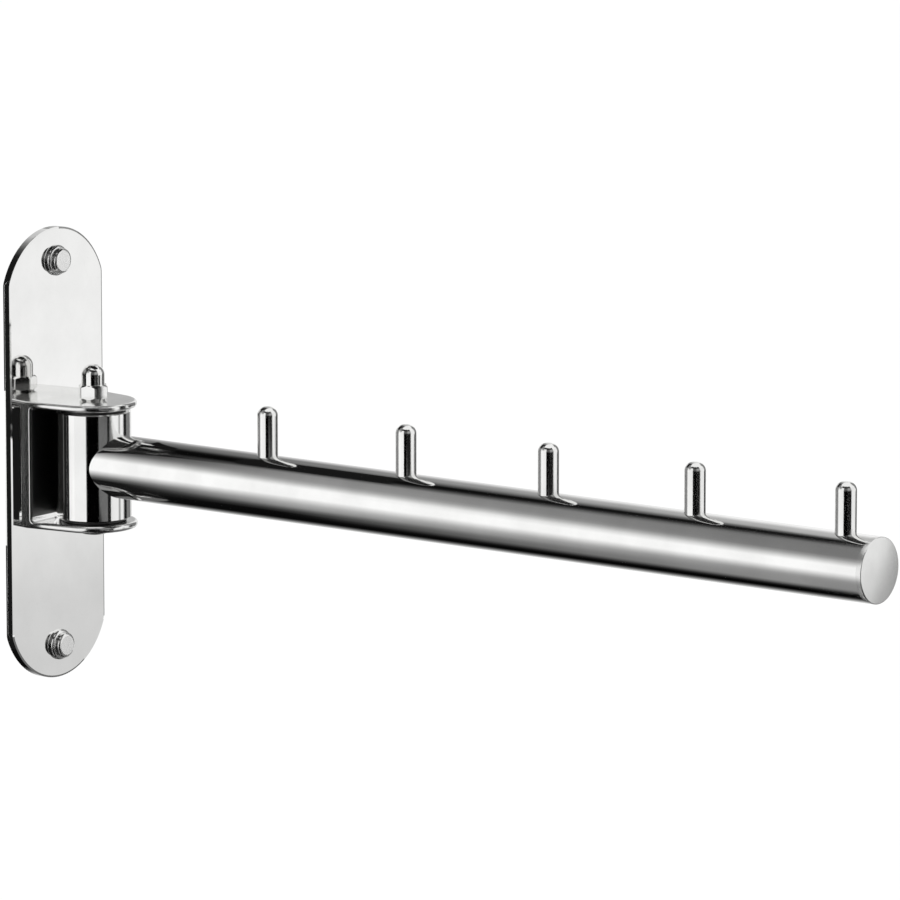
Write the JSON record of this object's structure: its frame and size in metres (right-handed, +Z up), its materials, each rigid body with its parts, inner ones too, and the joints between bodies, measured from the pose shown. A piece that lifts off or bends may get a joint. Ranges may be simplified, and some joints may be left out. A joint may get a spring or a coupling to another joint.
{
  "type": "valet hook",
  "caption": "Wall-mounted valet hook: a round-ended plate carries a hinge bracket and a swinging round arm with upright pegs along its top, for spacing clothes hangers.",
  "frame": {"origin": "middle of the plate's back face, where it lies on the wall", "axes": "+X out of the wall along the arm in its rest pose, +Z up along the hinge axis"},
  "size_m": [0.3027, 0.042, 0.134],
  "materials": {
    "mirror_stainless": "mirror-polished stainless sheet",
    "polished_stainless": "bright polished stainless steel",
    "fastener_stainless": "polished stainless fastener",
    "nylon": "black turned nylon"
  },
  "bodies": {
    "wall_mount": {"wall_plate": "mirror_stainless", "fixing_collar_upper": "fastener_stainless", "fixing_collar_lower": "fastener_stainless", "wall_screw_upper": "fastener_stainless", "wall_screw_lower": "fastener_stainless", "hinge_bracket": "polished_stainless", "pivot_bolt": "fastener_stainless", "pivot_cap_nut": "fastener_stainless"},
    "swing_arm": {"hinge_barrel": "polished_stainless", "upper_bush": "nylon", "lower_bush": "nylon", "arm_tube": "polished_stainless", "end_cap": "polished_stainless", "hanger_peg_1": "polished_stainless", "hanger_peg_2": "polished_stainless", "hanger_peg_3": "polished_stainless", "hanger_peg_4": "polished_stainless", "hanger_peg_5": "polished_stainless"}
  },
  "joints": [
    {"name": "arm_swing", "type": "hinge", "parent": "wall_mount", "child": "swing_arm", "pos_m": [0.0162, 0, -0.0015], "axis": [0, 0, 1], "range_deg": [-90, 90]}
  ]
}
